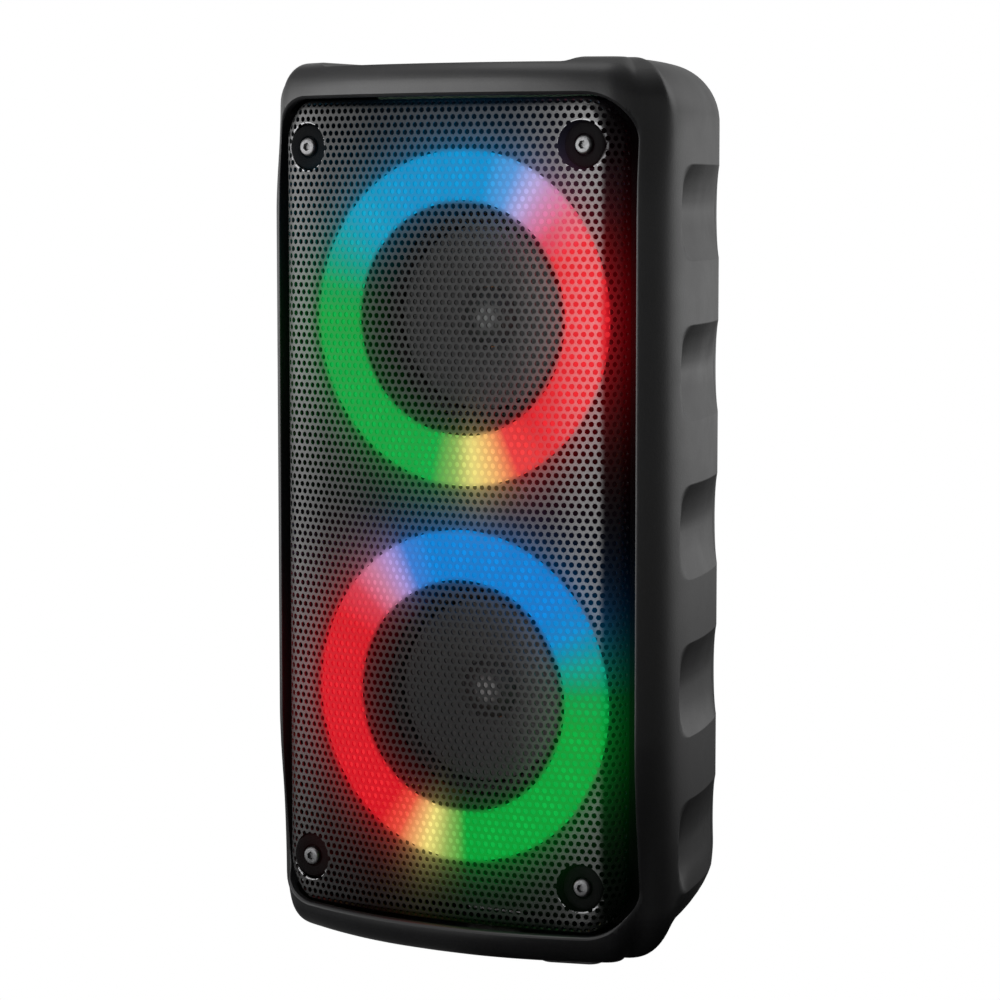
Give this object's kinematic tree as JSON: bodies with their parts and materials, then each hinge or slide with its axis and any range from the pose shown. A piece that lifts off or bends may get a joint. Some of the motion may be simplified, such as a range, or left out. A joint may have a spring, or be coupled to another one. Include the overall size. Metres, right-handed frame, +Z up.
{
  "type": "party speaker",
  "caption": "Tall portable party speaker: moulded cabinet with side scoops, convex perforated front grille over ringed drivers, keys on top, sockets at the back.",
  "frame": {"origin": "on the rest plane under the rubber feet, in the middle of the cabinet's width and depth", "axes": "+Z up, front faces -Y, +X to the viewer's right when looking at the front"},
  "size_m": [0.1476, 0.1134, 0.2933],
  "materials": {
    "shell": "satin black moulded ABS with a fine spark-eroded grain",
    "grille": "perforated steel sheet, semi-gloss black powder coat",
    "screw": "zinc plated button-head screws with hexagon sockets",
    "baffle": "dull black moulded ABS",
    "panel": "gloss black",
    "button": "soft-touch dark grey",
    "lens": "clear light pipe",
    "light_ring": "translucent milky diffuser, lit from behind",
    "board": "green solder mask on glass-fibre board",
    "socket": "nickel plated",
    "steel": "zinc plated pressed steel",
    "magnet": "sintered ferrite and black plated steel",
    "rubber": "matt black",
    "spider": "phenolic-treated woven cotton",
    "cone": "dark grey pressed paper pulp",
    "dust_cap": "dark grey, slightly shiny",
    "coil": "enamelled copper wire on a former",
    "battery": "shrink-wrapped cell pack",
    "cable": "PVC-insulated wire"
  },
  "bodies": {
    "cabinet": {"cabinet_front_shell": "shell", "cabinet_rear_cover": "shell", "front_grille": "grille", "front_screw_bottom_left": "screw", "front_screw_bottom_right": "screw", "front_screw_top_left": "screw", "front_screw_top_right": "screw", "front_baffle": "baffle", "control_panel": "panel", "status_light": "lens", "key_board": "board", "socket_panel": "panel", "main_board": "board", "usb_a_socket": "socket", "usb_c_socket": "socket", "line_in_jack": "socket", "microphone_jack": "socket", "bass_port_tube": "baffle", "battery_pack": "battery", "battery_strap": "steel", "speaker_cable_lower": "cable", "speaker_cable_upper": "cable", "battery_cable": "cable", "key_cable": "cable", "light_ring_lower": "light_ring", "led_board_lower": "board", "driver_basket_lower": "steel", "driver_magnet_lower": "magnet", "driver_surround_lower": "rubber", "driver_spider_lower": "spider", "light_ring_upper": "light_ring", "led_board_upper": "board", "driver_basket_upper": "steel", "driver_magnet_upper": "magnet", "driver_surround_upper": "rubber", "driver_spider_upper": "spider", "rear_screw_bottom_left": "steel", "rear_screw_bottom_right": "steel", "rear_screw_top_left": "steel", "rear_screw_top_right": "steel", "foot_front_left": "rubber", "foot_front_right": "rubber", "foot_rear_left": "rubber", "foot_rear_right": "rubber"},
    "driver_moving_lower": {"driver_cone_lower": "cone", "dust_cap_lower": "dust_cap", "voice_coil_lower": "coil"},
    "driver_moving_upper": {"driver_cone_upper": "cone", "dust_cap_upper": "dust_cap", "voice_coil_upper": "coil"},
    "power_key": {"button_power": "button"},
    "previous_key": {"button_previous": "button"},
    "play_pause_key": {"button_play_pause": "button"},
    "next_key": {"button_next": "button"},
    "light_mode_key": {"button_light_mode": "button"},
    "power_switch_slider": {"power_switch": "button"}
  },
  "joints": [
    {"name": "cone_travel_lower", "type": "slide", "parent": "cabinet", "child": "driver_moving_lower", "axis": [0, -1, 0], "range_m": [-0.0025, 0.0025], "stiffness_N_per_m": 1200},
    {"name": "cone_travel_upper", "type": "slide", "parent": "cabinet", "child": "driver_moving_upper", "axis": [0, -1, 0], "range_m": [-0.0025, 0.0025], "stiffness_N_per_m": 1200},
    {"name": "press_power", "type": "slide", "parent": "cabinet", "child": "power_key", "axis": [0, 0, -1], "range_m": [0, 0.0008], "stiffness_N_per_m": 600},
    {"name": "press_previous", "type": "slide", "parent": "cabinet", "child": "previous_key", "axis": [0, 0, -1], "range_m": [0, 0.0008], "stiffness_N_per_m": 600},
    {"name": "press_play_pause", "type": "slide", "parent": "cabinet", "child": "play_pause_key", "axis": [0, 0, -1], "range_m": [0, 0.0008], "stiffness_N_per_m": 600},
    {"name": "press_next", "type": "slide", "parent": "cabinet", "child": "next_key", "axis": [0, 0, -1], "range_m": [0, 0.0008], "stiffness_N_per_m": 600},
    {"name": "press_light_mode", "type": "slide", "parent": "cabinet", "child": "light_mode_key", "axis": [0, 0, -1], "range_m": [0, 0.0008], "stiffness_N_per_m": 600},
    {"name": "power_switch_slide", "type": "slide", "parent": "cabinet", "child": "power_switch_slider", "axis": [1, 0, 0], "range_m": [0, 0.004]}
  ]
}
